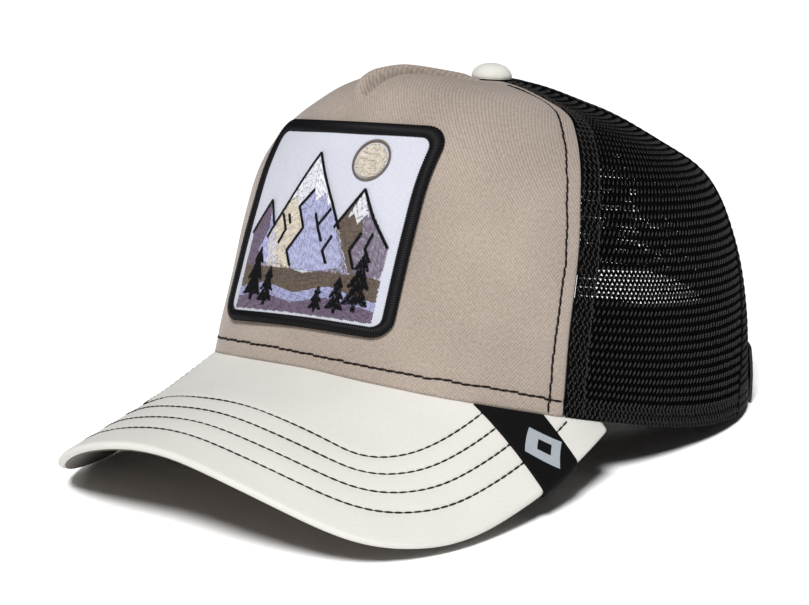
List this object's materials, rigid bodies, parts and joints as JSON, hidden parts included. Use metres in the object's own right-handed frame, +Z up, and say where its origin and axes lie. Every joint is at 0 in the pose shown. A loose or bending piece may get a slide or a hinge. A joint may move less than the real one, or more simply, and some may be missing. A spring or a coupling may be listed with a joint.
{
  "type": "trucker hat",
  "caption": "Trucker hat with a stiff tan front panel, see-through black mesh back, curved off-white peak, embroidered patch, ribbon tab and rear snap strap.",
  "frame": {"origin": "centre of the bounding box in plan, on the surface that the hat rests on", "axes": "+Z up, the peak points to -Y, +X is the wearer's left"},
  "size_m": [0.1728, 0.2706, 0.1321],
  "materials": {
    "tan_cloth": "matte warm grey-tan twill over foam",
    "black_mesh": "see-through black knitted net",
    "off_white_cloth": "matte off-white cotton twill",
    "taupe_cloth": "matte taupe cotton",
    "black_cloth": "matte black ribbon and twill",
    "patch_ground": "pale lavender-white fine twill with satin embroidery",
    "patch_border": "raised black overlocked thread",
    "black_plastic": "satin black plastic"
  },
  "bodies": {
    "root": {"front_panel": "tan_cloth", "side_panel_left": "black_mesh", "side_panel_right": "black_mesh", "rear_panel_left": "black_mesh", "rear_panel_right": "black_mesh", "sweatband": "black_cloth", "peak_top": "off_white_cloth", "peak_underside": "taupe_cloth", "peak_tab": "black_cloth", "patch_ground": "patch_ground", "patch_border": "patch_border", "strap_left": "black_plastic", "strap_right": "black_plastic", "top_button": "off_white_cloth"}
  },
  "joints": []
}
